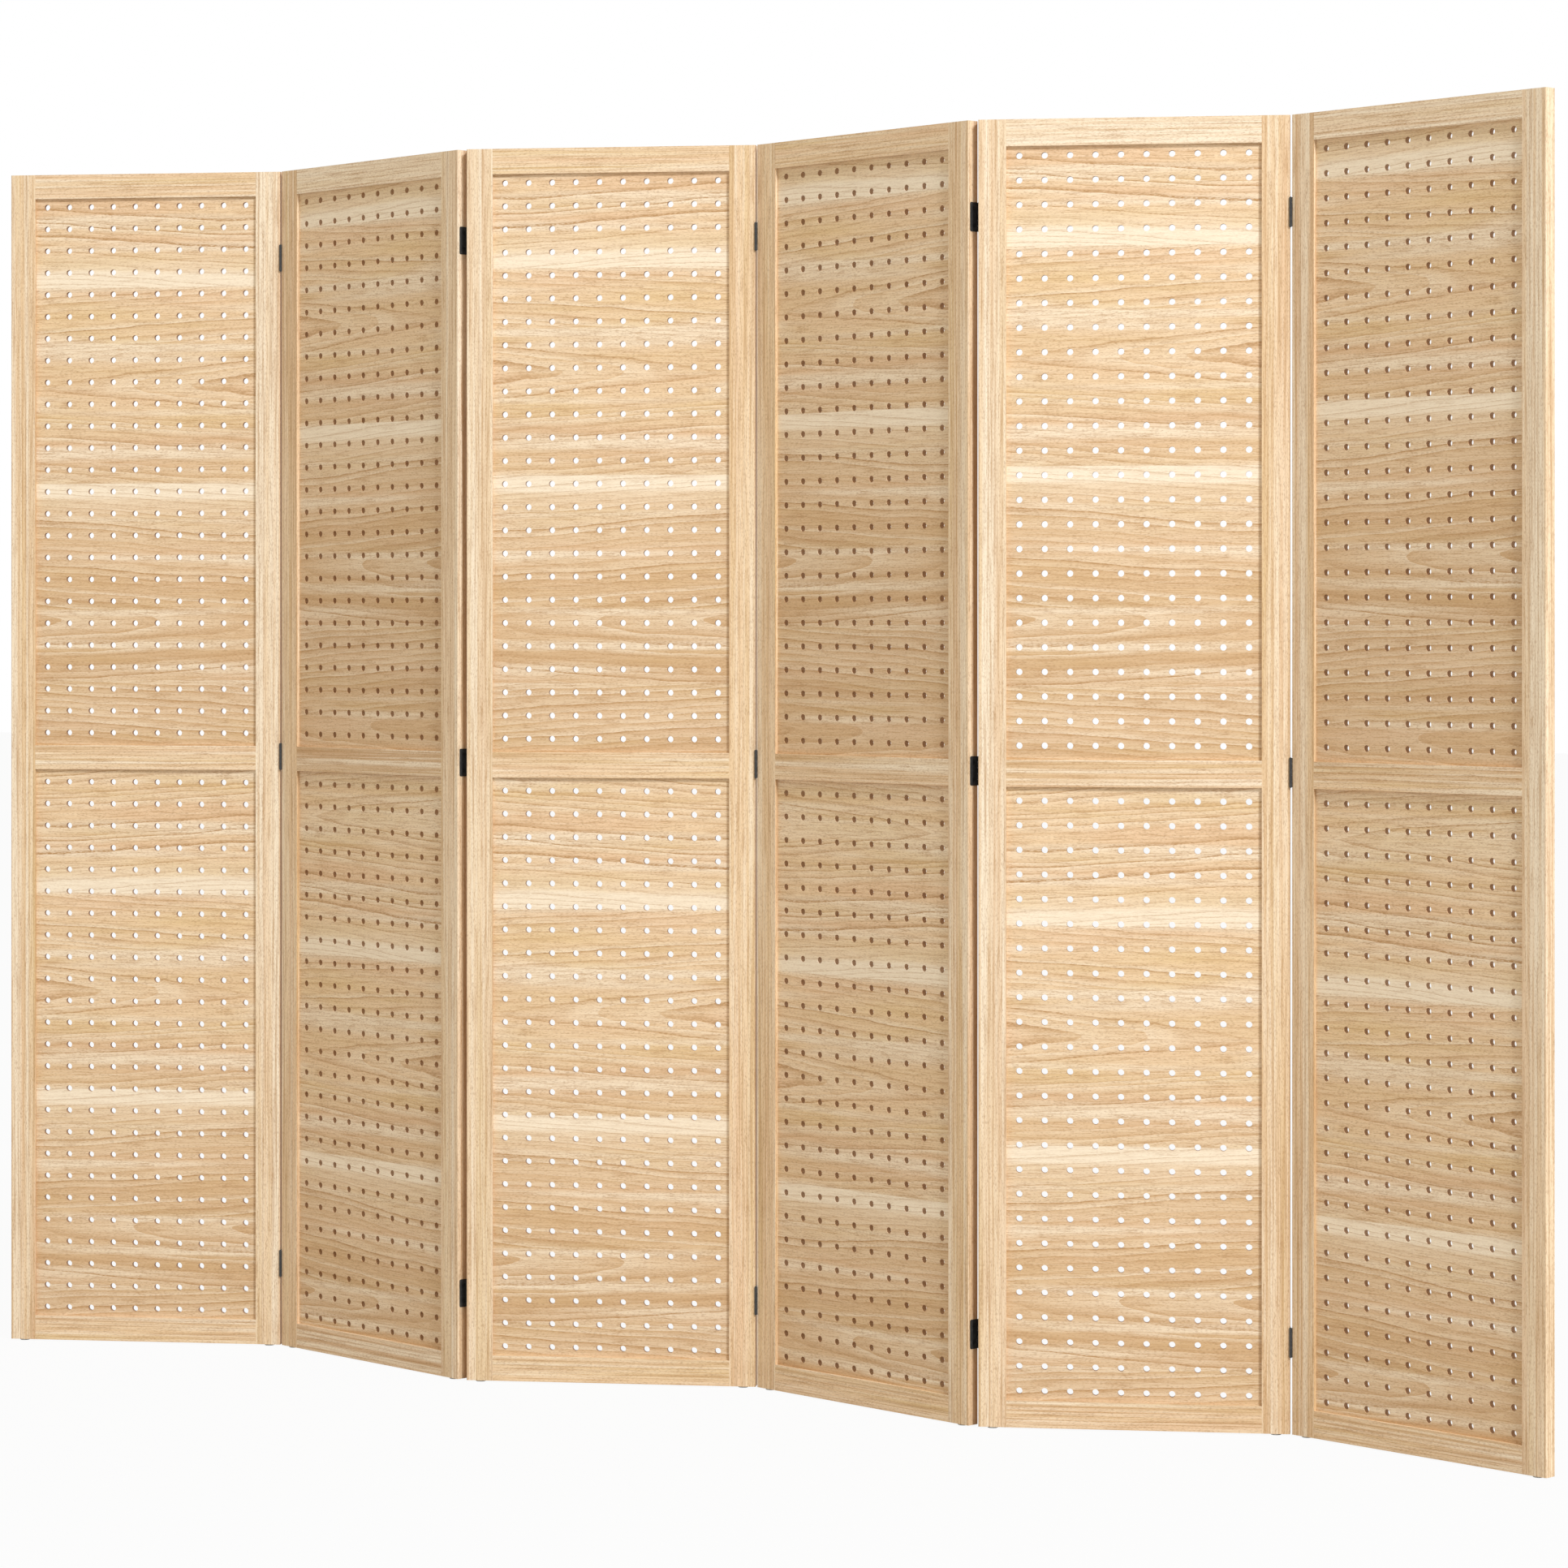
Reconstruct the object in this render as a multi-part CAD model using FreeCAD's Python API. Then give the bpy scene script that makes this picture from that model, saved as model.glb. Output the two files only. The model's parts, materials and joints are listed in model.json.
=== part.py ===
import FreeCAD, Part
import math
import os

# Folding screen of pegboard panels, standing in a zigzag on the floor.
# Millimetres, Z up, front towards -Y. The origin is on the floor, in the middle of the screen.

# Panel frames
panel_count = 6
panel_width = 402.6
frame_height = 1698.0
frame_thickness = 18.0
stile_width = 36.3
rail_width = 35.0
edge_chamfer = 0.8

# Grooves that hold the boards and the rails' stub tenons
groove_depth = 8.0
groove_fit = 0.1
board_float = 1.0
tenon_gap = 0.5

# Pegboards: hole margins are measured from the frame to the middle of the nearest holes
board_thickness = 8.0
hole_columns = 10
hole_rows = 25
hole_diameter = 8.5
hole_side_margin = 16.5
hole_end_margin = 12.0
hole_middle_margin = 18.3

# Butt hinges, let into gains in the edges of the stiles, with the pin proud of the panels' faces
hinge_length = 38.0
hinge_bottom_distance = 118.0
hinge_middle_rise = 2.5
hinge_top_distance = 125.0
knuckle_count = 5
knuckle_wall = 0.9
knuckle_gap = 0.2
knuckle_clearance = 0.3
pin_radius = 1.0
pin_fit = 0.08
pin_tip = 0.6
pin_proud = 1.1
leaf_thickness = 1.2
leaf_let_in = 0.9
leaf_gap = 1.1
leaf_margin = 3.5
leaf_corner = 2.0
gain_clearance = 0.3
screw_spacing = 22.0
screw_hole_radius = 1.6
screw_head_radius = 3.0
screw_countersink_share = 0.8

# Nailed floor glides, one under each stile
glide_radius = 7.0
glide_height = 2.0
glide_chamfer = 0.6
nail_radius = 1.4
nail_length = 14.0
nail_point = 2.0
nail_fit = 0.05

# How far each joint is folded from flat as the screen stands, in degrees
fold_angle = 38.75

# How far a cutting shape runs past the faces that it cuts
overrun = 1.0

# Sizes that follow from those above
half_width = panel_width / 2
half_thickness = frame_thickness / 2
frame_bottom = glide_height
frame_top = frame_bottom + frame_height
opening_width = panel_width - 2 * stile_width
opening_height = (frame_height - 3 * rail_width) / 2
half_opening = opening_width / 2
groove_width = board_thickness + 2 * groove_fit
column_pitch = (opening_width - 2 * hole_side_margin) / (hole_columns - 1)
row_pitch = (opening_height - hole_end_margin - hole_middle_margin) / (hole_rows - 1)
hole_radius = hole_diameter / 2
bore_radius = pin_radius + pin_fit
knuckle_radius = bore_radius + knuckle_wall
plate_edge = knuckle_radius + knuckle_clearance
panel_gap = 2 * (leaf_thickness - leaf_let_in) + leaf_gap
knuckle_pitch = hinge_length / knuckle_count
leaf_far_edge = pin_proud + frame_thickness - leaf_margin
leaf_seat = panel_gap / 2 + leaf_let_in
nail_hole_radius = nail_radius + nail_fit

# Heights of the rails' lower edges and of the hinges' middles
bottom_rail_z = frame_bottom
middle_rail_z = bottom_rail_z + rail_width + opening_height
top_rail_z = middle_rail_z + rail_width + opening_height
hinge_heights = [
    frame_bottom + hinge_bottom_distance,
    frame_bottom + frame_height / 2 + hinge_middle_rise,
    frame_top - hinge_top_distance,
]

# Where the joints are on a panel, and how far apart the middles of the panels stand
pivot_x = half_width + panel_gap / 2
pivot_y = half_thickness + pin_proud
lean = math.radians(fold_angle / 2)
panel_pitch = 2 * (pivot_x * math.cos(lean) + pivot_y * math.sin(lean))

x_axis = FreeCAD.Vector(1, 0, 0)
y_axis = FreeCAD.Vector(0, 1, 0)
z_axis = FreeCAD.Vector(0, 0, 1)
no_turn = FreeCAD.Rotation()
half_turn = FreeCAD.Rotation(z_axis, 180)


def block(x_low, x_high, y_low, y_high, z_low, z_high):
    corner = FreeCAD.Vector(x_low, y_low, z_low)
    return Part.makeBox(x_high - x_low, y_high - y_low, z_high - z_low, corner)


def prism(points, direction):
    outline = Part.makePolygon(points + points[:1])
    return Part.Face(outline).extrude(direction)


def moved(shape, x, y, z, turn=no_turn):
    copy = shape.copy()
    copy.Placement = FreeCAD.Placement(FreeCAD.Vector(x, y, z), turn).multiply(copy.Placement)
    return copy


# Joints: each is at an end of a panel, at -1 on its left or at 1 on its right
def has_joint(number, end):
    return 1 <= number + end <= panel_count


# The joint after an odd panel has its knuckles in front, and the joint after an even panel behind
def knuckles_in_front(number, end):
    return (number % 2 == 1) == (end == 1)


def on_joint(shapes, number, end):
    in_front = knuckles_in_front(number, end)
    shape = shapes[-end if in_front else end]
    y = -pivot_y if in_front else pivot_y
    turn = no_turn if in_front else half_turn
    return [moved(shape, end * pivot_x, y, z, turn) for z in hinge_heights]


# Stiles: one section with chamfered outer corners and a groove along the inner edge
def stile(number, side):
    outer = side * half_width
    eased = side * (half_width - edge_chamfer)
    inner = side * half_opening
    groove_floor = side * (half_opening + groove_depth)
    half_groove = groove_width / 2
    front_half = [
        (outer, half_thickness - edge_chamfer),
        (eased, half_thickness),
        (inner, half_thickness),
        (inner, half_groove),
        (groove_floor, half_groove),
    ]
    back_half = [(x, -y) for x, y in reversed(front_half)]
    section = [FreeCAD.Vector(x, y, frame_bottom) for x, y in front_half + back_half]
    bar = prism(section, z_axis * frame_height)
    nail_hole = Part.makeCylinder(nail_hole_radius, nail_length + overrun + nail_fit)
    cuts = [moved(nail_hole, glide_x(side), 0, frame_bottom - overrun)]
    if has_joint(number, side):
        cuts += on_joint(gains, number, side)
    return bar.cut(cuts)


# Rails: a bar between the stiles, grooved where a board meets it, with a stub tenon at each end
def rail(low, groove_below, groove_above):
    high = low + rail_width
    tenon_reach = half_opening + groove_depth - tenon_gap
    half_tenon = board_thickness / 2
    core_low = low + groove_depth if groove_below else low
    core_high = high - groove_depth if groove_above else high
    bar = block(-half_opening, half_opening, -half_thickness, half_thickness, low, high)
    tenons = block(-tenon_reach, tenon_reach, -half_tenon, half_tenon, core_low, core_high)
    shape = bar.fuse(tenons)
    half_groove = groove_width / 2
    reach = half_opening + overrun
    if groove_below:
        shape = shape.cut(block(-reach, reach, -half_groove, half_groove, low - overrun, core_low))
    if groove_above:
        shape = shape.cut(block(-reach, reach, -half_groove, half_groove, core_high, high + overrun))
    return shape.removeSplitter()


# Pegboards: each stands on the floor of the groove below it, and its holes are placed from the frame
def pegboard(opening_bottom, first_row_margin):
    left = -(half_opening + groove_depth - board_float)
    bottom = opening_bottom - groove_depth
    top = opening_bottom + opening_height + groove_depth - board_float
    front = -board_thickness / 2
    corners = [
        FreeCAD.Vector(left, front, bottom),
        FreeCAD.Vector(-left, front, bottom),
        FreeCAD.Vector(-left, front, top),
        FreeCAD.Vector(left, front, top),
    ]
    outlines = [Part.makePolygon(corners + corners[:1])]
    for row in range(hole_rows):
        z = opening_bottom + first_row_margin + row * row_pitch
        for column in range(hole_columns):
            x = -half_opening + hole_side_margin + column * column_pitch
            rim = Part.Circle(FreeCAD.Vector(x, front, z), y_axis, hole_radius)
            outlines.append(Part.Wire(rim.toShape()))
    sheet = Part.makeFace(outlines, "Part::FaceMakerBullseye")
    return sheet.extrude(y_axis * board_thickness)


# Hinges: the pin stands on the Z axis, and +Y runs from the knuckles across the panel's edge
def plate(x_low, x_high, y_near, y_far, half_length, corner):
    shape = block(x_low, x_high, y_near, y_far, -half_length, half_length)
    far_corners = [
        edge
        for edge in shape.Edges
        if edge.BoundBox.YMin > y_near and edge.BoundBox.XLength > (x_high - x_low) / 2
    ]
    return shape.makeFillet(corner, far_corners)


# Gain: the shallow recess that a leaf is let into, with room for the barrel
def hinge_gain(side):
    x_low, x_high = sorted((side * leaf_seat, side * (panel_gap / 2 - overrun)))
    y_far = leaf_far_edge + gain_clearance
    half_length = hinge_length / 2 + gain_clearance
    recess = plate(x_low, x_high, 0, y_far, half_length, leaf_corner + gain_clearance)
    barrel_room = Part.makeCylinder(plate_edge, 2 * half_length)
    return recess.fuse(moved(barrel_room, 0, 0, -half_length))


def hinge_leaf(side, knuckles):
    plate_inner = side * (leaf_seat - leaf_thickness)
    x_low, x_high = sorted((plate_inner, side * leaf_seat))
    bottom = -hinge_length / 2
    pieces = [plate(x_low, x_high, plate_edge, leaf_far_edge, -bottom, leaf_corner)]
    for knuckle in knuckles:
        low = bottom + knuckle * knuckle_pitch + knuckle_gap / 2
        height = knuckle_pitch - knuckle_gap
        pieces.append(moved(Part.makeCylinder(knuckle_radius, height), 0, 0, low))
        pieces.append(block(x_low, x_high, 0, plate_edge, low, low + height))
    leaf = pieces[0].multiFuse(pieces[1:])
    cuts = [moved(Part.makeCylinder(bore_radius, hinge_length + 2 * overrun), 0, 0, bottom - overrun)]
    sink_depth = leaf_thickness * screw_countersink_share
    outwards = x_axis * side
    for end in (-1, 1):
        spot = FreeCAD.Vector(plate_inner, (plate_edge + leaf_far_edge) / 2, end * screw_spacing / 2)
        cuts.append(Part.makeCylinder(screw_hole_radius, leaf_thickness + overrun, spot, outwards))
        cuts.append(Part.makeCone(screw_head_radius, screw_hole_radius, sink_depth, spot, outwards))
    return leaf.cut(cuts).removeSplitter()


def hinge_pin():
    half_length = hinge_length / 2 + pin_tip
    shoulder = half_length - pin_tip
    profile = [
        FreeCAD.Vector(0, 0, -half_length),
        FreeCAD.Vector(pin_radius - pin_tip, 0, -half_length),
        FreeCAD.Vector(pin_radius, 0, -shoulder),
        FreeCAD.Vector(pin_radius, 0, shoulder),
        FreeCAD.Vector(pin_radius - pin_tip, 0, half_length),
        FreeCAD.Vector(0, 0, half_length),
    ]
    section = Part.Face(Part.makePolygon(profile + profile[:1]))
    return section.revolve(FreeCAD.Vector(0, 0, 0), z_axis, 360)


# Glides: a low disc with a nail that goes up into the end of the stile
def glide_x(side):
    return side * (half_width - stile_width / 2)


def floor_glide():
    nail_top = glide_height + nail_length
    profile = [
        FreeCAD.Vector(0, 0, 0),
        FreeCAD.Vector(glide_radius - glide_chamfer, 0, 0),
        FreeCAD.Vector(glide_radius, 0, glide_chamfer),
        FreeCAD.Vector(glide_radius, 0, glide_height),
        FreeCAD.Vector(nail_radius, 0, glide_height),
        FreeCAD.Vector(nail_radius, 0, nail_top - nail_point),
        FreeCAD.Vector(0, 0, nail_top),
    ]
    section = Part.Face(Part.makePolygon(profile + profile[:1]))
    return section.revolve(FreeCAD.Vector(0, 0, 0), z_axis, 360)


# Odd panels lean back to their right, even ones lean forward, and their middles stand in line
def panel_place(number):
    x = (number - (panel_count + 1) / 2) * panel_pitch
    lean_angle = fold_angle / 2 if number % 2 else -fold_angle / 2
    return FreeCAD.Placement(FreeCAD.Vector(x, 0, 0), FreeCAD.Rotation(z_axis, lean_angle))


def leaves(number):
    placed = []
    for end, leaf in ((1, odd_leaf), (-1, even_leaf)):
        if has_joint(number, end):
            placed += on_joint(leaf, number, end)
    return Part.makeCompound(placed)


def save(shape, name, number):
    placed = shape.copy()
    placed.Placement = panel_place(number).multiply(placed.Placement)
    placed.exportStep("parts/" + name + ".step")


os.makedirs("parts", exist_ok=True)

odd_leaf = {side: hinge_leaf(side, range(0, knuckle_count, 2)) for side in (-1, 1)}
even_leaf = {side: hinge_leaf(side, range(1, knuckle_count, 2)) for side in (-1, 1)}
gains = {side: hinge_gain(side) for side in (-1, 1)}
pin = {side: hinge_pin() for side in (-1, 1)}
glide = floor_glide()
panel_pieces = {
    "top_rail": rail(top_rail_z, True, False),
    "middle_rail": rail(middle_rail_z, True, True),
    "bottom_rail": rail(bottom_rail_z, False, True),
    "upper_pegboard": pegboard(middle_rail_z + rail_width, hole_middle_margin),
    "lower_pegboard": pegboard(bottom_rail_z + rail_width, hole_end_margin),
    "floor_glides": Part.makeCompound([moved(glide, glide_x(side), 0, 0) for side in (-1, 1)]),
}

for number in range(1, panel_count + 1):
    for name, shape in panel_pieces.items():
        save(shape, f"{name}_{number}", number)
    save(stile(number, -1), f"left_stile_{number}", number)
    save(stile(number, 1), f"right_stile_{number}", number)
    save(leaves(number), f"hinge_leaves_{number}", number)
    if has_joint(number, 1):
        pins = Part.makeCompound(on_joint(pin, number, 1))
        save(pins, f"hinge_pins_{number}_{number + 1}", number)
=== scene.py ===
import json
import math

import bmesh
import bpy
from mathutils import Color, Matrix, Vector

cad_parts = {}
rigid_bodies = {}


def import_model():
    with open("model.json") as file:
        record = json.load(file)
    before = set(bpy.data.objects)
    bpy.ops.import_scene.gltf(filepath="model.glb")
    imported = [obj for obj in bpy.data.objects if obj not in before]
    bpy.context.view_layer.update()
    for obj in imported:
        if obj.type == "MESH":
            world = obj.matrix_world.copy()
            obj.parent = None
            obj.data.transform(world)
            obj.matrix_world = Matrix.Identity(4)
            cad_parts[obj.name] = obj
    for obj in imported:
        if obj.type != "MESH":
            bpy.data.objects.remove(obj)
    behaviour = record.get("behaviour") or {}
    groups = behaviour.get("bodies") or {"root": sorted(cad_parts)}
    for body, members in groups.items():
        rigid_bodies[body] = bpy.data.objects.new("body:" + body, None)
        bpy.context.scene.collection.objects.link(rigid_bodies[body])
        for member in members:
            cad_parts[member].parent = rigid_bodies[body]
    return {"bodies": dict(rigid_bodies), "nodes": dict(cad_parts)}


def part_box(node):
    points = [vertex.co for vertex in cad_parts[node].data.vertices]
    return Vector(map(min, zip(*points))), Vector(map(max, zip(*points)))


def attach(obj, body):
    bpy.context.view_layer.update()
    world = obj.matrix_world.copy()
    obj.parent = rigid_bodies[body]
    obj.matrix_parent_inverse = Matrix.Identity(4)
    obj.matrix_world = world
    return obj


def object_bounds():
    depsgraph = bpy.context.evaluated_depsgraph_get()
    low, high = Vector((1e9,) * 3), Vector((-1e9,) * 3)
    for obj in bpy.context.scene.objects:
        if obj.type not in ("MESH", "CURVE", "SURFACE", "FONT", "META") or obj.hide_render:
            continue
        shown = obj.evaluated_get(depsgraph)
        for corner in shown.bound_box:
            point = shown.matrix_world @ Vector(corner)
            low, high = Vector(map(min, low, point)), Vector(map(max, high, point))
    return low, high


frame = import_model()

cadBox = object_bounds()
cadNodes = frame["nodes"]
panelNumbers = range(1, len(frame["bodies"]) + 1)
print("frame:", len(cadNodes), "nodes on", len(panelNumbers), "panels")


# shader tools

def paint(red, green, blue):  # a colour as a screen shows it, 0 to 255
    return (*Color((red / 255, green / 255, blue / 255)).from_srgb_to_scene_linear(), 1.0)


class Value:  # a socket that can be used in sums
    def __init__(self, tree, socket):
        self.tree = tree
        self.socket = socket

    def math(self, operation, *parts):
        return self.tree.node("ShaderNodeMath", {"operation": operation}, dict(enumerate(parts)))

    def __add__(self, other):
        return self.math("ADD", self, other)

    def __radd__(self, other):
        return self.math("ADD", other, self)

    def __sub__(self, other):
        return self.math("SUBTRACT", self, other)

    def __rsub__(self, other):
        return self.math("SUBTRACT", other, self)

    def __mul__(self, other):
        return self.math("MULTIPLY", self, other)

    def __rmul__(self, other):
        return self.math("MULTIPLY", other, self)

    def __truediv__(self, other):
        return self.math("DIVIDE", self, other)

    def __rtruediv__(self, other):
        return self.math("DIVIDE", other, self)

    def __pow__(self, other):
        return self.math("POWER", self, other)

    def __rpow__(self, other):
        return self.math("POWER", other, self)

    def one(self, operation):  # a Math node with a single input
        return self.math(operation, self)

    def larger(self, other):
        return self.math("MAXIMUM", self, other)

    def smooth(self, low, high):  # 0 below low, 1 above high, eased between
        sockets = {"Value": self, "From Min": low, "From Max": high}
        return self.tree.node("ShaderNodeMapRange", {"interpolation_type": "SMOOTHSTEP"}, sockets)


class Tree:  # the nodes of one material or of the world
    def __init__(self, owner):
        owner.use_nodes = True
        self.nodes = owner.node_tree.nodes
        self.links = owner.node_tree.links

    def node(self, kind, settings, sockets, output=0):
        made = self.nodes.new(kind)
        for name, value in settings.items():
            setattr(made, name, value)
        self.fill(made, sockets)
        return Value(self, made.outputs[output])

    def fill(self, made, sockets):
        for name, value in sockets.items():
            if isinstance(value, Value):
                self.links.new(value.socket, made.inputs[name])
            else:
                made.inputs[name].default_value = value

    def vector(self, x, y, z):
        return self.node("ShaderNodeCombineXYZ", {}, {0: x, 1: y, 2: z})

    def noise(self, x, y, z, detail=1.0):  # 0 to 1, about 0.5 on average
        sockets = {"Vector": self.vector(x, y, z), "Scale": 1.0, "Detail": detail}
        return self.node("ShaderNodeTexNoise", {}, sockets)

    def chance(self, seed):  # a fixed random number for each whole seed
        return self.node("ShaderNodeTexWhiteNoise", {"noise_dimensions": "1D"}, {"W": seed})

    def mix(self, share, first, second):  # colours
        return self.node("ShaderNodeMix", {"data_type": "RGBA"}, {0: share, 6: first, 7: second}, 2)

    def place(self, centre, turn, flip):  # x, y and z as measured on a piece that stands turned
        objectPlace = self.node("ShaderNodeTexCoord", {}, {}, "Object")
        sockets = {
            "Vector": objectPlace,
            "Location": centre,
            "Rotation": (0, 0, turn),
            "Scale": (flip, 1, 1),
        }
        local = self.node("ShaderNodeMapping", {"vector_type": "TEXTURE"}, sockets)
        return [self.node("ShaderNodeSeparateXYZ", {}, {0: local}, axis) for axis in range(3)]

    def seen(self):  # 1 for what is seen straight, in a reflection or through glass
        straight, mirrored, through = (
            self.node("ShaderNodeLightPath", {}, {}, f"Is {ray} Ray")
            for ray in ("Camera", "Glossy", "Transmission")
        )
        return straight.larger(mirrored).larger(through)

    def bump(self, height, depth):
        return self.node("ShaderNodeBump", {}, {"Height": height, "Distance": depth, "Strength": 1.0})


def newFinish(name, constants):
    material = bpy.data.materials.new(name)
    tree = Tree(material)
    shader = tree.nodes["Principled BSDF"]
    tree.fill(shader, constants)
    return material, tree, shader


def dress(node, material):
    slots = cadNodes[node].data.materials
    slots.clear()
    slots.append(material)


# where each panel stands and how it is turned, read from its stiles

def middle(node):
    low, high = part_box(node)
    return (low + high) / 2


def panelPlace(number):
    left = middle(f"left_stile_{number}")
    right = middle(f"right_stile_{number}")
    width = right - left
    centre = (left + right) / 2
    return Vector((centre.x, centre.y, 0)), math.atan2(width.y, width.x)


panelPlaces = {number: panelPlace(number) for number in panelNumbers}


def panelMatrix(number):
    centre, turn = panelPlaces[number]
    return Matrix.Translation(centre) @ Matrix.Rotation(turn, 4, "Z")


def panelEdge(number):  # how far the stiles reach from the panel's middle
    toPanel = panelMatrix(number).inverted()
    return max((toPanel @ vertex.co).x for vertex in cadNodes[f"right_stile_{number}"].data.vertices)


def knuckleSide(number, end):  # -1 where the knuckles are in front, 1 behind, 0 at an end with no joint
    joint = number if end > 0 else number - 1
    if joint in (0, len(panelNumbers)):
        return 0
    return -1 if joint % 2 else 1


# wood: year rings round a pith line that lies behind the piece

woodColours = {
    "tan": paint(241, 211, 171),
    "honey": paint(233, 202, 153),
    "rose": paint(239, 205, 166),
    "cream": paint(252, 236, 210),
    "latewood": paint(188, 145, 97),
    "pore": paint(168, 126, 82),
    # painted shade: the brown that the holes' walls and the joint edges are darkened towards
    "paintedShade": paint(162, 110, 60),
}
woodShader = {"Specular IOR Level": 0.25}
woodSeeds = {"rank": 13, "band": 5, "bandShift": 0.5, "blotch": 0.5, "tone": 0.7, "patch": 0.3}
woodYear = {
    "waverDetail": 2.0,
    "lineStart": (0.70, 0.95),  # share of a year where its dark line sets in
    "lineEnd": (0.965, 1.0),
    "broken": (0.36, 0.64),  # flecks break the line up
    "sapBroken": (0.25, 0.55),
    "rankSpread": 0.8,
    "rankLeast": 0.2,
    "crossSpread": 0.75,
    "crossLeast": 0.25,
}
woodPatches = {"honey": (0.5, 0.7), "rose": (0.5, 0.3), "tone": (0.48, 0.75), "cream": (0.48, 0.70)}
woodSap = {"wander": 0.7, "inner": 0.45, "outer": 0.55, "clean": 0.55}
woodFleck = {"length": 0.005, "width": 0.0010, "detail": 2.0}
woodStreak = {"length": 0.25, "width": 0.0032, "detail": 1.0, "pale": (0.5, 0.25), "dark": (0.5, 0.75)}
woodDash = {
    "length": 0.045,
    "width": 0.0045,
    "detail": 3.0,
    "levels": (0.58, 0.78),
    "broken": (0.30, 0.60),
    "strength": 0.50,
}
woodFibre = {"length": 0.045, "width": 0.0014, "detail": 2.0, "levels": (0.46, 0.78), "strength": 0.55}
woodPore = {
    "length": 0.0042,
    "width": 0.0012,
    "detail": 3.0,
    "levels": (0.47, 0.72),
    "cluster": 0.3,  # how much the pores gather where the dashes are
    "strength": 0.42,
}
woodSurface = {"roughness": 0.5, "sheen": 0.14, "bumpDepth": 0.00012, "lateDip": 0.4}
noiseMiddle = 0.5


def woodGrain(tree, shader, run, rise, depth, taper, block, look, cream=0.0, heart=0.0):
    # run goes with the grain, rise and depth are measured from the pith, block numbers the plank
    def streak(size):
        width = size["width"]
        return tree.noise(run / size["length"], rise / width, depth / width, size["detail"])

    def cloud(kind):
        place = run / look[f"{kind}Length"], rise / look[f"{kind}Rise"]
        return tree.noise(*place, block + look["seed"] + woodSeeds[kind])

    bend = tree.noise(run / look["bendLength"], rise / look["bendRise"], block + look["seed"])
    waverRise, waverDepth = rise / look["waverRise"], depth / look["waverRise"]
    waver = tree.noise(run / look["waverLength"], waverRise, waverDepth, woodYear["waverDetail"])
    straight = (rise * rise + depth * depth).one("SQRT")
    wander = (bend - noiseMiddle) * look["bend"] + (waver - noiseMiddle) * look["waver"]
    radius = straight + run * taper + wander
    unevenness = tree.noise(radius / look["unevenStep"], block + look["seed"], 0.0)
    ring = radius / look["ringPitch"] + unevenness * look["uneven"]
    year = ring.one("FLOOR")
    season = ring.one("FRACT")  # 0 where a year starts, 1 at its dark edge
    rank = tree.chance(year + (block * woodSeeds["rank"] + look["seed"]))  # how dark the year ends
    fleck = streak(woodFleck)
    line = season.smooth(*woodYear["lineStart"]) - season.smooth(*woodYear["lineEnd"])
    late = season ** 2 * look["shade"] + line * fleck.smooth(*woodYear["broken"]) * look["line"]
    late = late * (rank * rank * woodYear["rankSpread"] + woodYear["rankLeast"])
    crossing = rise.one("ABSOLUTE") / straight  # 0 where the face only grazes the rings
    late = late * (crossing * woodYear["crossSpread"] + woodYear["crossLeast"])

    blotch = cloud("blotch")
    body = tree.mix(blotch.smooth(*woodPatches["honey"]), woodColours["tan"], woodColours["honey"])
    body = tree.mix(blotch.smooth(*woodPatches["rose"]), body, woodColours["rose"])
    tone = cloud("tone").smooth(*woodPatches["tone"])
    body = tree.mix(tone * look["tone"] + heart, body, woodColours["latewood"])
    bark = straight + wander * woodSap["wander"]
    inner, outer = look["sapwood"]
    sapEdge = bark.smooth(outer, outer + look["sapEdge"])
    sapwood = bark.smooth(inner, outer) * woodSap["inner"] + sapEdge * woodSap["outer"]
    clean = 1 - sapwood * woodSap["clean"]
    patch = cloud("patch").smooth(*woodPatches["cream"])
    pale = sapwood.larger(patch * look["patch"] + cream)
    bandSeed = block * woodSeeds["band"] + look["seed"] + woodSeeds["bandShift"]
    band = tree.chance(year + bandSeed) * (1 - season) * look["band"]
    body = tree.mix(pale.larger(band), body, woodColours["cream"])
    late = late * clean + line * fleck.smooth(*woodYear["sapBroken"]) * sapwood * look["sapLine"]
    body = tree.mix(late, body, woodColours["latewood"])

    long = streak(woodStreak)
    body = tree.mix(long.smooth(*woodStreak["pale"]) * look["streak"], body, woodColours["cream"])
    darkShare = long.smooth(*woodStreak["dark"]) * clean * look["streak"]
    body = tree.mix(darkShare, body, woodColours["latewood"])
    cluster = streak(woodDash)
    dash = cluster.smooth(*woodDash["levels"]) * fleck.smooth(*woodDash["broken"])
    body = tree.mix(dash * clean * woodDash["strength"], body, woodColours["latewood"])
    fibre = streak(woodFibre)
    fibreShare = fibre.smooth(*woodFibre["levels"]) * clean * woodFibre["strength"]
    body = tree.mix(fibreShare, body, woodColours["latewood"])
    pore = streak(woodPore) + (cluster - noiseMiddle) * woodPore["cluster"]
    pore = pore.smooth(*woodPore["levels"]) * clean * woodPore["strength"]
    body = tree.mix(pore, body, woodColours["pore"])

    roughness = woodSurface["roughness"] + (fibre - late) * woodSurface["sheen"]
    normal = tree.bump(1 - pore - late * woodSurface["lateDip"], woodSurface["bumpDepth"])
    tree.fill(shader, {"Base Color": body, "Roughness": roughness, "Normal": normal})
    return body


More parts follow.
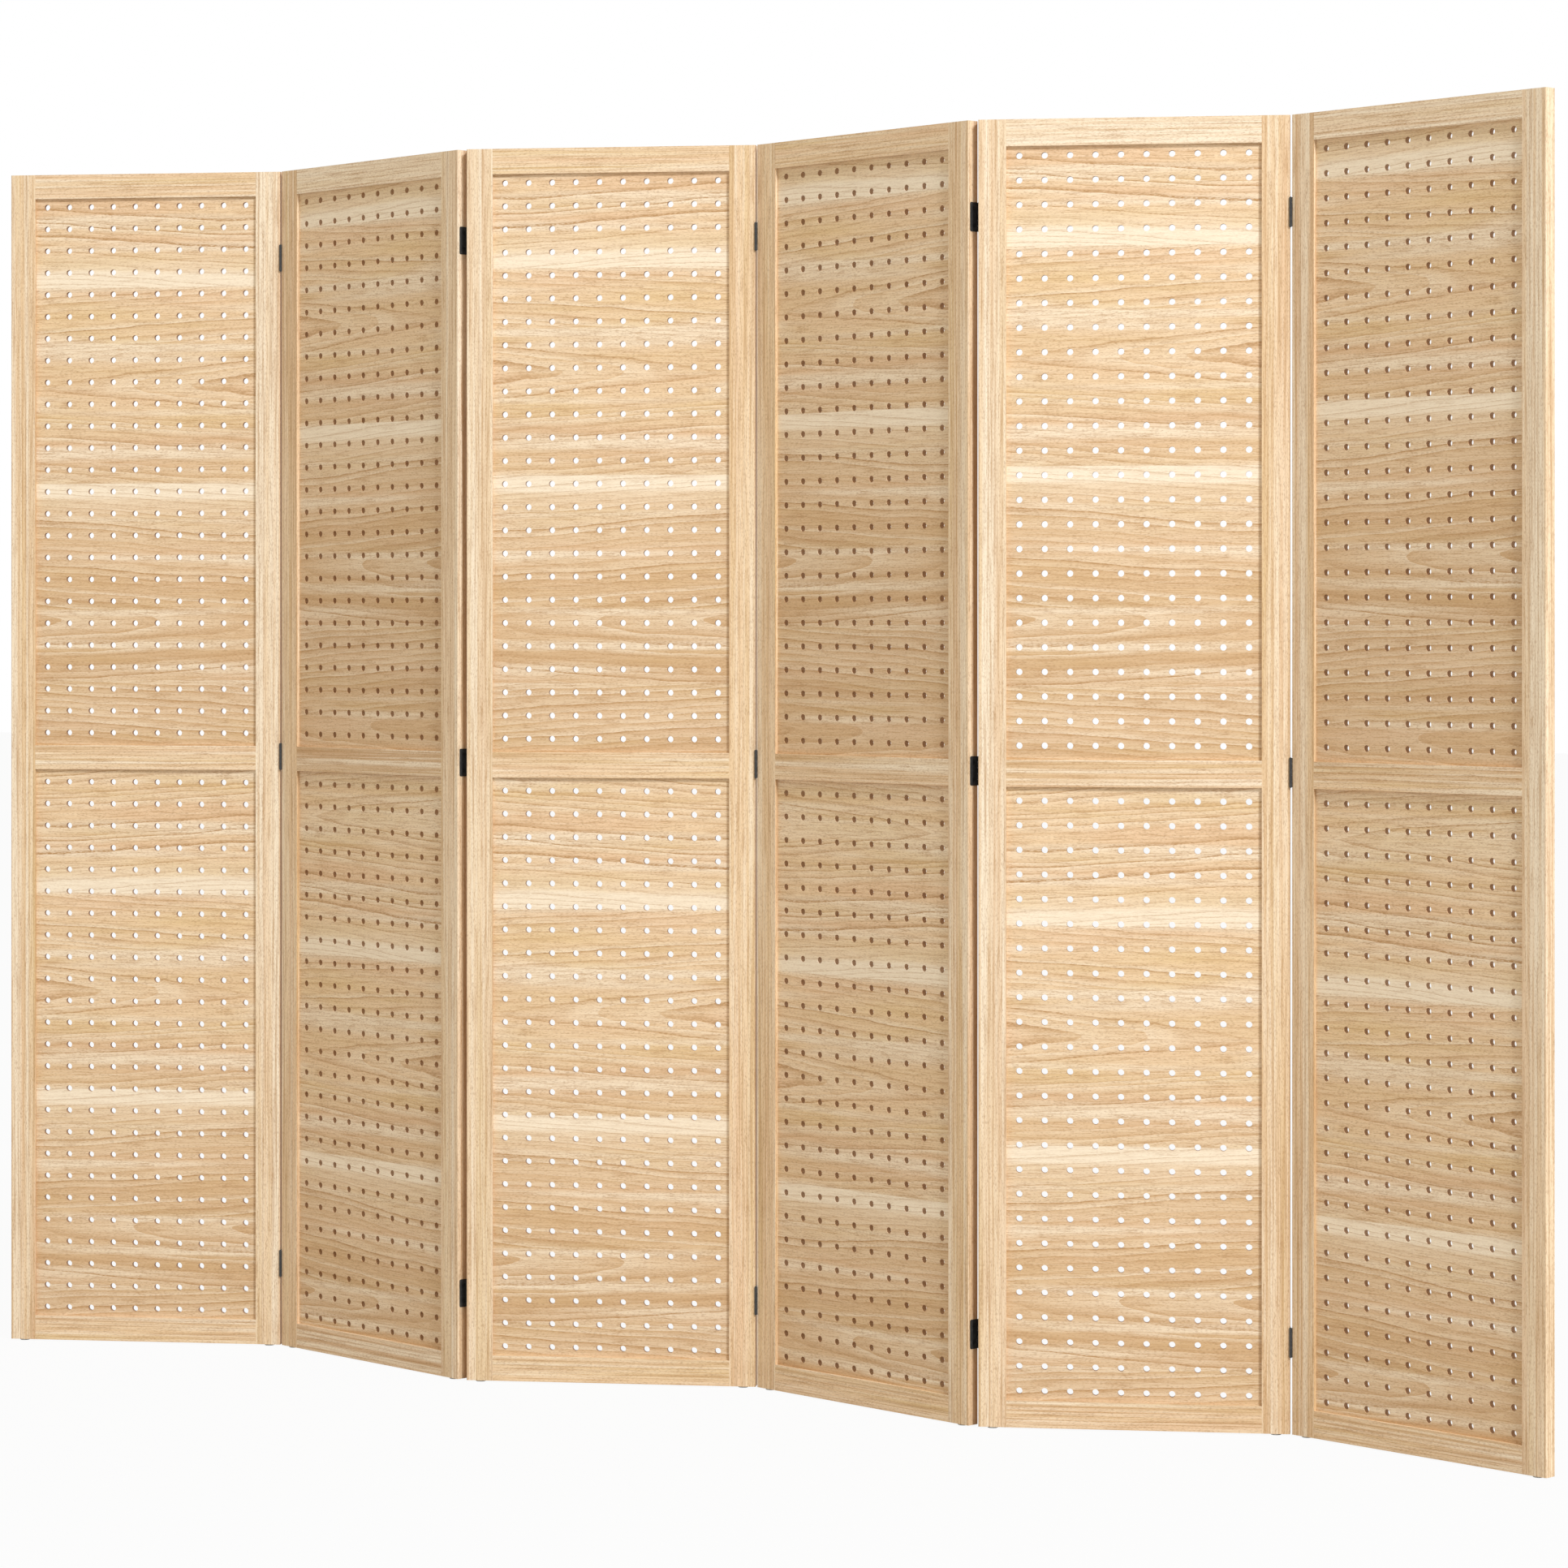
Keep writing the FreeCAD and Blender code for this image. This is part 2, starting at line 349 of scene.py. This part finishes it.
boardLook = {
    "plankHeight": 0.2855,
    "firstEdges": {"upper": (0.057, 0.137), "lower": (0.268, 0.187)},  # below the top: even, odd panels
    "pithDepth": 0.020,
    "pithSlope": 0.030,
    "pithHeight": 0.5,  # of a plank, before it sways
    "pithSway": 0.20,
    "taper": 0.055,
    "bend": 0.022,
    "bendLength": 0.30,
    "bendRise": 0.12,
    "waver": 0.006,
    "waverLength": 0.07,
    "waverRise": 0.02,
    "ringPitch": 0.0100,
    "uneven": 2.5,
    "unevenStep": 0.020,
    "shade": 0.58,
    "line": 1.1,
    "patch": 0.75,
    "patchLength": 0.6,
    "patchRise": 0.022,
    "streak": 0.15,
    "blotchLength": 0.30,
    "blotchRise": 0.035,
    "sapwood": (0.142, 0.174),
    "sapEdge": 0.009,
    "sapLine": 0.28,
    "heart": 0.36,
    "heartPlanks": (1.0, 3.1),
    "tone": 0.15,
    "toneLength": 0.45,
    "toneRise": 0.07,
    "band": 0.6,
    "seed": 3,
    "skin": (0.0030, 0.0038),  # the faces are clean, and the holes' walls between them are darkened as painted shade
    "holeShade": 0.65,
}


def dressBoard(number, storey):
    centre, turn = panelPlaces[number]
    node = f"{storey}_pegboard_{number}"
    material, tree, shader = newFinish(f"{storey}_board_wood_{number}", woodShader)
    flip = -1 if (number // 2 + (storey == "lower")) % 2 else 1  # half of the boards are mirrored
    x, y, z = tree.place(centre, turn, flip)
    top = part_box(node)[1].z
    firstEdge = boardLook["firstEdges"][storey][number % 2]
    plankPlace = (top - firstEdge - z) / boardLook["plankHeight"] + 1
    plank = plankPlace.one("FLOOR")
    turns = plank * (math.pi / 2)  # pith and lean repeat after four planks
    pith = boardLook["pithHeight"] - turns.one("COSINE") * boardLook["pithSway"]
    rise = (plankPlace.one("FRACT") - pith) * boardLook["plankHeight"]
    lean = (turns - math.pi / 4).one("COSINE") * -math.sqrt(2)  # two planks one way, two the other
    depth = y + x * lean * boardLook["pithSlope"] + boardLook["pithDepth"]
    heart = plankPlace.smooth(*boardLook["heartPlanks"]) * boardLook["heart"]
    body = woodGrain(tree, shader, x, rise, depth, lean * boardLook["taper"], plank, boardLook, heart=heart)
    # painted shade: the holes' walls between the clean faces are darkened, standing in for the shade inside
    # the holes
    paintedShade = 1 - y.one("ABSOLUTE").smooth(*boardLook["skin"])
    body = tree.mix(paintedShade * boardLook["holeShade"], body, woodColours["paintedShade"])
    tree.fill(shader, {"Base Color": body})
    dress(node, material)


stileLook = {
    "pith": (0.025, 0.13),
    "bend": 0.010,
    "bendLength": 0.9,
    "bendRise": 0.05,
    "waver": 0.003,
    "waverLength": 0.16,
    "waverRise": 0.012,
    "ringPitch": 0.0052,
    "uneven": 2.0,
    "unevenStep": 0.016,
    "shade": 0.26,
    "line": 0.6,
    "patch": 0.85,
    "patchLength": 1.5,
    "patchRise": 0.010,
    "streak": 0.52,
    "blotchLength": 0.9,
    "blotchRise": 0.014,
    "sapwood": (3.0, 3.1),
    "sapEdge": 0.02,
    "sapLine": 0.0,
    "tone": 0.2,
    "toneLength": 0.8,
    "toneRise": 0.03,
    "band": 0.5,
    "seed": 40,
    "blockStep": 0.37,
    "cream": {
        "right_stile_1": 0.35,
        "right_stile_2": 0.35,
        "left_stile_3": 0.35,
        "left_stile_5": 0.3,
        "right_stile_6": 0.3,
    },
    "heart": {
        "left_stile_2": 0.06,
        "right_stile_4": 0.08,
        "right_stile_5": 0.12,
        "left_stile_6": 0.17,
    },
    "paintedJointShade": 0.5,  # painted shade on the edges at the joints, darker towards the knuckles where the V between the panels is shaded
    "paintedJointShadeReach": (-0.003, 0.004),  # from the middle of the edge
    "paintedJointShadeDepth": (0.0006, 0.0003),  # below the edge
}


def dressStile(number, side):
    centre, turn = panelPlaces[number]
    node = f"{side}_stile_{number}"
    material, tree, shader = newFinish(f"{side}_stile_wood_{number}", woodShader)
    flip = 1 if number % 2 else -1
    x, y, z = tree.place(centre, turn, flip)
    pithX, pithY = stileLook["pith"]
    cream = stileLook["cream"].get(node, 0.0)
    heart = stileLook["heart"].get(node, 0.0)
    block = stileLook["blockStep"] * number
    body = woodGrain(tree, shader, z, x - pithX, pithY - y, 0.0, block, stileLook, cream, heart)
    end = 1 if side == "right" else -1
    knuckles = knuckleSide(number, end)
    if knuckles:
        # painted shade: the joint edge darkens towards the knuckles, standing in for the shade deep in the
        # V between the panels
        jointShadeAtEdge = (panelEdge(number) - x * (end * flip)).smooth(*stileLook["paintedJointShadeDepth"])
        jointShadeTowardsKnuckles = (y * knuckles).smooth(*stileLook["paintedJointShadeReach"])
        body = tree.mix(jointShadeTowardsKnuckles * jointShadeAtEdge * stileLook["paintedJointShade"], body, woodColours["paintedShade"])
        tree.fill(shader, {"Base Color": body})
    dress(node, material)


railLook = {
    "pith": (0.63, 0.10),
    "bend": 0.010,
    "bendLength": 0.5,
    "bendRise": 0.05,
    "waver": 0.003,
    "waverLength": 0.12,
    "waverRise": 0.012,
    "ringPitch": 0.0058,
    "uneven": 2.0,
    "unevenStep": 0.016,
    "shade": 0.28,
    "line": 0.8,
    "patch": 0.85,
    "patchLength": 0.8,
    "patchRise": 0.010,
    "streak": 0.52,
    "blotchLength": 0.5,
    "blotchRise": 0.014,
    "sapwood": (3.0, 3.1),
    "sapEdge": 0.02,
    "sapLine": 0.0,
    "tone": 0.2,
    "toneLength": 0.8,
    "toneRise": 0.03,
    "band": 0.5,
    "seed": 70,
    "blockStep": 0.61,
    "cream": {"top_rail_2": 0.65, "top_rail_5": 0.6, "top_rail_6": 0.5},
    "heart": {
        "middle_rail_2": 0.52,
        "middle_rail_4": 0.12,
        "middle_rail_5": 0.2,
        "bottom_rail_2": 0.18,
        "bottom_rail_5": 0.11,
        "bottom_rail_6": 0.12,
    },
}


def dressRail(number, height):
    centre, turn = panelPlaces[number]
    node = f"{height}_rail_{number}"
    material, tree, shader = newFinish(f"{height}_rail_wood_{number}", woodShader)
    x, y, z = tree.place(centre, turn, 1)
    pithZ, pithY = railLook["pith"]
    cream = railLook["cream"].get(node, 0.0)
    heart = railLook["heart"].get(node, 0.0)
    block = railLook["blockStep"] * number
    woodGrain(tree, shader, x, z - pithZ, pithY - y, 0.0, block, railLook, cream, heart)
    dress(node, material)


for number in panelNumbers:
    for storey in ("upper", "lower"):
        dressBoard(number, storey)
    for side in ("left", "right"):
        dressStile(number, side)
    for height in ("top", "middle", "bottom"):
        dressRail(number, height)
print("wood: boards, stiles and rails")


# black hinges

blackShader = {"Specular IOR Level": 0.45}
blackWear = {
    "detail": 3.0,
    "scratch": (0.66, 0.78),
    "scratchShare": 0.4,
    "scratchDip": 0.5,
    "mottle": (0.45, 0.8),
    "mottleShare": 0.5,
}
hingeLook = {
    "black": paint(50, 50, 50),
    "worn": paint(86, 85, 84),
    "mottleSize": 0.004,
    "scratchLength": 0.012,
    "scratchWidth": 0.0005,
    "roughness": 0.38,
    "roughnessSpread": 0.16,
    "bumpDepth": 0.00004,
}
screwBlackLook = {
    "black": paint(34, 34, 35),
    "worn": paint(96, 95, 93),
    "mottleSize": 0.0015,
    "scratchLength": 0.003,
    "scratchWidth": 0.0004,
    "roughness": 0.30,
    "roughnessSpread": 0.2,
    "bumpDepth": 0.00003,
}


def blackFinish(name, look):
    material, tree, shader = newFinish(name, blackShader)
    x, y, z = tree.place((0, 0, 0), 0, 1)
    size, width = look["mottleSize"], look["scratchWidth"]
    mottle = tree.noise(x / size, y / size, z / size, blackWear["detail"])
    scratch = tree.noise(x / width, y / width, z / look["scratchLength"]).smooth(*blackWear["scratch"])
    rubbed = mottle.smooth(*blackWear["mottle"]) * blackWear["mottleShare"]
    worn = rubbed.larger(scratch * blackWear["scratchShare"])
    colour = tree.mix(worn, look["black"], look["worn"])
    roughness = look["roughness"] + mottle * look["roughnessSpread"]
    normal = tree.bump(mottle - scratch * blackWear["scratchDip"], look["bumpDepth"])
    tree.fill(shader, {"Base Color": colour, "Roughness": roughness, "Normal": normal})
    return material


hingeBlack = blackFinish("hinge_black_metal", hingeLook)
for name in cadNodes:
    if name.startswith("hinge_"):
        dress(name, hingeBlack)
print("hinges: black metal")


# countersunk screws with a cross recess, two in each hinge leaf

screwLook = {
    "leafThickness": 0.0012,
    "leafProud": 0.0003,  # of the stile that it is let into
    "setBack": 0.00116,  # from the panel's middle towards the knuckles
    "spacing": 0.022,
    "hingeReach": 0.1,
    "turnStep": 2.4,  # from screw to screw, so that the crosses stand differently
    "sides": 16,
    "headRadius": 0.00292,
    "neckRadius": 0.00152,
    "headDepth": 0.00096,
    "rim": 0.0011,
    "armAngle": 90,
    "armRadius": 0.00155,
    "cornerRadius": 0.00054,
    "recessDepth": 0.0006,
    "recessTaper": 0.7,
}


def hingeHeights():  # middles of the hinges, read from the pins of the first joint
    groups = []
    for height in sorted(vertex.co.z for vertex in cadNodes["hinge_pins_1_2"].data.vertices):
        if not groups or height - groups[-1][-1] > screwLook["hingeReach"]:
            groups.append([])
        groups[-1].append(height)
    return [(group[0] + group[-1]) / 2 for group in groups]


def vertsOf(made):
    return [item for item in made["geom"] if isinstance(item, bmesh.types.BMVert)]


def turnScrew():  # the head faces +z, with the leaf's face at the origin
    shape = bmesh.new()
    sides, headDepth = screwLook["sides"], screwLook["headDepth"]
    radius, armAngle = screwLook["headRadius"], screwLook["armAngle"]
    halfSide = Matrix.Rotation(math.pi / sides, 4, "Z")
    bmesh.ops.create_circle(shape, cap_ends=True, segments=sides, radius=radius, matrix=halfSide)
    top = shape.faces[:][0]
    neck = vertsOf(bmesh.ops.extrude_edge_only(shape, edges=top.edges[:]))
    share = screwLook["neckRadius"] / radius
    bmesh.ops.scale(shape, vec=(share, share, 1), verts=neck)
    bmesh.ops.translate(shape, vec=(0, 0, -headDepth), verts=neck)
    neckRing = [edge for edge in shape.edges if all(end in neck for end in edge.verts)]
    foot = vertsOf(bmesh.ops.extrude_edge_only(shape, edges=neckRing))
    bmesh.ops.translate(shape, vec=(0, 0, headDepth - screwLook["leafThickness"]), verts=foot)
    bmesh.ops.contextual_create(shape, geom=foot)
    bmesh.ops.inset_region(shape, faces=[top], thickness=screwLook["rim"], use_even_offset=True)
    for corner in top.verts:  # the corners nearest to the axes become the ends of the cross
        angle = math.degrees(math.atan2(corner.co.y, corner.co.x)) % armAngle
        onArm = min(angle, armAngle - angle) < armAngle / 4
        corner.co = corner.co.normalized() * screwLook["armRadius" if onArm else "cornerRadius"]
    floor = vertsOf(bmesh.ops.extrude_face_region(shape, geom=[top]))
    bmesh.ops.scale(shape, vec=(screwLook["recessTaper"], screwLook["recessTaper"], 1), verts=floor)
    bmesh.ops.translate(shape, vec=(0, 0, -screwLook["recessDepth"]), verts=floor)
    bmesh.ops.recalc_face_normals(shape, faces=shape.faces[:])
    screw = bpy.data.meshes.new("screw")
    shape.to_mesh(screw)
    shape.free()
    return screw


def screwPlaces(number):
    panel = panelMatrix(number)
    face = panelEdge(number) + screwLook["leafProud"]
    halfSpacing = screwLook["spacing"] / 2
    heights = [height + step for height in hingeHeights() for step in (-halfSpacing, halfSpacing)]
    places = []
    for end in (-1, 1):
        knuckles = knuckleSide(number, end)
        if knuckles:
            outwards = Matrix.Rotation(end * math.pi / 2, 4, "Y")
            for height in heights:
                spot = Vector((end * face, knuckles * screwLook["setBack"], height))
                turn = Matrix.Rotation(screwLook["turnStep"] * len(places), 4, "Z")
                places.append(panel @ Matrix.Translation(spot) @ (outwards @ turn))
    return places


def driveScrews(number, screw, material):
    shape = bmesh.new()
    for place in screwPlaces(number):
        before = len(shape.verts)
        shape.from_mesh(screw)
        bmesh.ops.transform(shape, matrix=place, verts=shape.verts[:][before:])
    mesh = bpy.data.meshes.new(f"hinge_screws_{number}")
    shape.to_mesh(mesh)
    shape.free()
    mesh.materials.append(material)
    screws = bpy.data.objects.new(f"hinge_screws_{number}", mesh)
    bpy.context.collection.objects.link(screws)
    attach(screws, f"panel_{number}")


screwFinish = blackFinish("screw_black_metal", screwBlackLook)
screw = turnScrew()
for number in panelNumbers:
    driveScrews(number, screw, screwFinish)
bpy.data.meshes.remove(screw)
print("hinges: screws")


# floor glides

glideShader = {"Specular IOR Level": 0.4}
glideLook = {
    "grey": paint(214, 213, 210),
    "scuffed": paint(176, 174, 170),
    "scuffSize": 0.003,
    "scuffDetail": 3.0,
    "scuff": (0.42, 0.75),
    "roughness": 0.45,
    "roughnessSpread": 0.2,
    "bumpDepth": 0.00006,
}


def glideFinish():
    material, tree, shader = newFinish("glide_grey_plastic", glideShader)
    x, y, z = tree.place((0, 0, 0), 0, 1)
    size = glideLook["scuffSize"]
    scuff = tree.noise(x / size, y / size, z / size, glideLook["scuffDetail"]).smooth(*glideLook["scuff"])
    colour = tree.mix(scuff, glideLook["grey"], glideLook["scuffed"])
    normal = tree.bump(scuff, glideLook["bumpDepth"])
    roughness = glideLook["roughness"] + scuff * glideLook["roughnessSpread"]
    tree.fill(shader, {"Base Color": colour, "Roughness": roughness, "Normal": normal})
    return material


glideGrey = glideFinish()
for number in panelNumbers:
    dress(f"floor_glides_{number}", glideGrey)
print("glides: grey plastic")


# floor, light and camera

floorShader = {"Base Color": paint(190, 190, 190), "Roughness": 0.9, "Specular IOR Level": 0.0}
floorLook = {"size": 30.0, "whiteShare": 0.94}


def layFloor():
    shape = bmesh.new()
    bmesh.ops.create_grid(shape, x_segments=1, y_segments=1, size=floorLook["size"])
    mesh = bpy.data.meshes.new("floor")
    shape.to_mesh(mesh)
    shape.free()
    floor = bpy.data.objects.new("floor", mesh)
    bpy.context.collection.objects.link(floor)
    material, tree, shader = newFinish("floor_white", floorShader)
    white = tree.node("ShaderNodeEmission", {}, {"Color": (1, 1, 1, 1), "Strength": 1.0})
    matt = Value(tree, shader.outputs["BSDF"])
    share = tree.seen() * floorLook["whiteShare"]
    surface = tree.node("ShaderNodeMixShader", {}, {0: share, 1: matt, 2: white})
    tree.fill(tree.nodes["Material Output"], {"Surface": surface})
    mesh.materials.append(material)


skyLook = {"level": 0.735, "tint": (1.0, 0.935, 0.815, 1.0)}


def hangSky():
    world = bpy.data.worlds.new("studio")
    bpy.context.scene.world = world
    tree = Tree(world)
    soft = tree.node("ShaderNodeBackground", {}, {"Color": skyLook["tint"], "Strength": skyLook["level"]})
    white = tree.node("ShaderNodeBackground", {}, {"Color": (1, 1, 1, 1), "Strength": 1.0})
    mixed = tree.node("ShaderNodeMixShader", {}, {0: tree.seen(), 1: soft, 2: white})
    tree.fill(tree.nodes["World Output"], {"Surface": mixed})


lampLook = {
    "distance": 12.5,
    "bearing": 61.0,
    "height": 37.0,
    "size": 2.5,
    "power": 1075.0,
    "tint": (0.962, 1.0, 1.068),
}


def hangLamp():
    bearing = math.radians(lampLook["bearing"])
    height = math.radians(lampLook["height"])
    level = math.cos(height)
    towards = Vector((math.sin(bearing) * level, -math.cos(bearing) * level, math.sin(height)))
    aim = (cadBox[0] + cadBox[1]) / 2
    light = bpy.data.lights.new("studio_lamp", "AREA")
    light.shape = "DISK"
    light.size = lampLook["size"]
    light.energy = lampLook["power"]
    light.color = lampLook["tint"]
    lamp = bpy.data.objects.new("studio_lamp", light)
    lamp.location = aim + towards * lampLook["distance"]
    lamp.rotation_euler = towards.to_track_quat("Z", "Y").to_euler()
    bpy.context.collection.objects.link(lamp)


cameraLook = {"place": (2.79374, -5.29229, 1.04084), "turn": 27.21, "lens": 101.37, "shift": -0.1001}


def standCamera():
    data = bpy.data.cameras.new("camera")
    data.lens = cameraLook["lens"]
    data.shift_y = cameraLook["shift"]
    camera = bpy.data.objects.new("camera", data)
    camera.location = cameraLook["place"]
    camera.rotation_euler = (math.pi / 2, 0, math.radians(cameraLook["turn"]))
    bpy.context.collection.objects.link(camera)
    bpy.context.scene.camera = camera


layFloor()
hangSky()
hangLamp()
standCamera()
bpy.context.scene.view_settings.view_transform = "Standard"
print("stage: floor, sky, lamp and camera")
